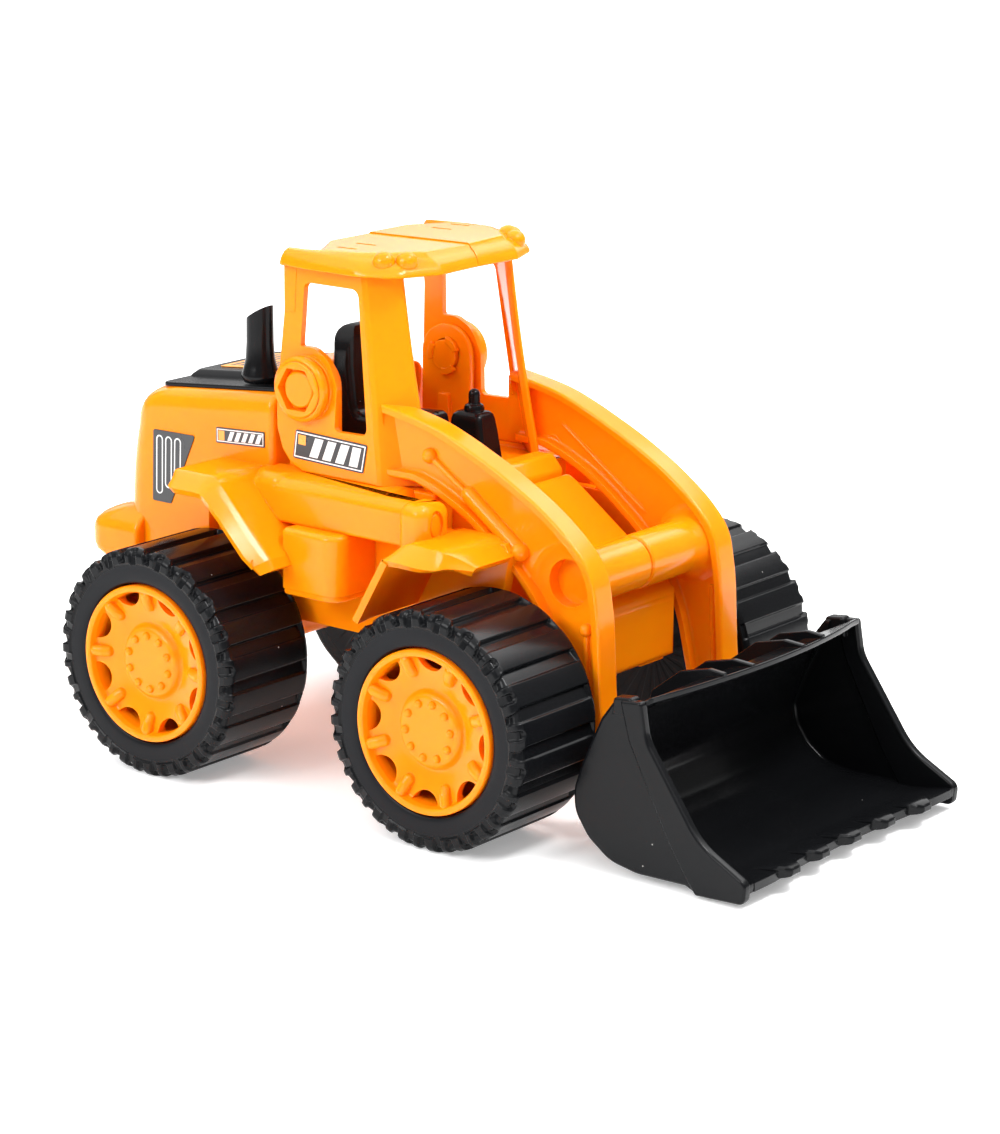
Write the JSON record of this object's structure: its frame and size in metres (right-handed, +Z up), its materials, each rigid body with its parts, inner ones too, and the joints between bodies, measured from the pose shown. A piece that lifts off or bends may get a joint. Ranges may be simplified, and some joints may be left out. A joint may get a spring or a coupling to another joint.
{
  "type": "toy wheel loader",
  "caption": "Push-along toy wheel loader: hollow body on steel axles, cab and loader arms that lift together on snap plugs, and a tilting bucket.",
  "frame": {"origin": "on the ground at the centre of the loader's outline", "axes": "+X points forward to the bucket, +Y to the loader's left, +Z up"},
  "size_m": [0.3274, 0.183, 0.2005],
  "materials": {
    "body_plastic": "glossy moulded orange-yellow",
    "black_plastic": "semi-gloss moulded black",
    "tyre_plastic": "satin moulded charcoal, hard hollow tyre",
    "dark_label": "printed vinyl sheet with a plain stripe pattern",
    "orange_label": "printed vinyl sheet with a dark grid",
    "steel": "plain drawn steel"
  },
  "bodies": {
    "chassis": {"upper_body": "body_plastic", "lower_frame": "body_plastic", "base_screw_1": "steel", "base_screw_2": "steel", "base_screw_3": "steel", "base_screw_4": "steel", "engine_deck": "black_plastic", "exhaust_stack": "black_plastic", "seat": "black_plastic", "control_console": "black_plastic", "deck_label": "orange_label", "grille_label_right": "dark_label", "grille_label_left": "dark_label", "hood_label_right": "dark_label", "hood_label_left": "dark_label"},
    "cab_arms": {"cab_arm_right": "body_plastic", "cab_arm_left": "body_plastic", "pivot_plug_right": "body_plastic", "pivot_plug_left": "body_plastic", "bucket_pin_right": "body_plastic", "bucket_pin_left": "body_plastic", "cab_label_right": "dark_label", "cab_label_left": "dark_label"},
    "bucket_body": {"bucket": "black_plastic"},
    "rear_wheels": {"rear_axle": "steel", "rear_right_tyre": "tyre_plastic", "rear_left_tyre": "tyre_plastic", "rear_right_rim": "body_plastic", "rear_left_rim": "body_plastic"},
    "front_wheels": {"front_axle": "steel", "front_right_tyre": "tyre_plastic", "front_left_tyre": "tyre_plastic", "front_right_rim": "body_plastic", "front_left_rim": "body_plastic"}
  },
  "joints": [
    {"name": "arm_lift", "type": "hinge", "parent": "chassis", "child": "cab_arms", "pos_m": [-0.05275, 0, 0.1469], "axis": [0, -1, 0], "range_deg": [0, 30]},
    {"name": "bucket_tilt", "type": "hinge", "parent": "cab_arms", "child": "bucket_body", "pos_m": [0.07875, 0, 0.024], "axis": [0, -1, 0], "range_deg": [-45, 20]},
    {"name": "rear_axle_spin", "type": "hinge", "parent": "chassis", "child": "rear_wheels", "pos_m": [-0.09325, 0, 0.0438], "axis": [0, 1, 0], "continuous": true},
    {"name": "front_axle_spin", "type": "hinge", "parent": "chassis", "child": "front_wheels", "pos_m": [0.04115, 0, 0.0438], "axis": [0, 1, 0], "continuous": true}
  ]
}
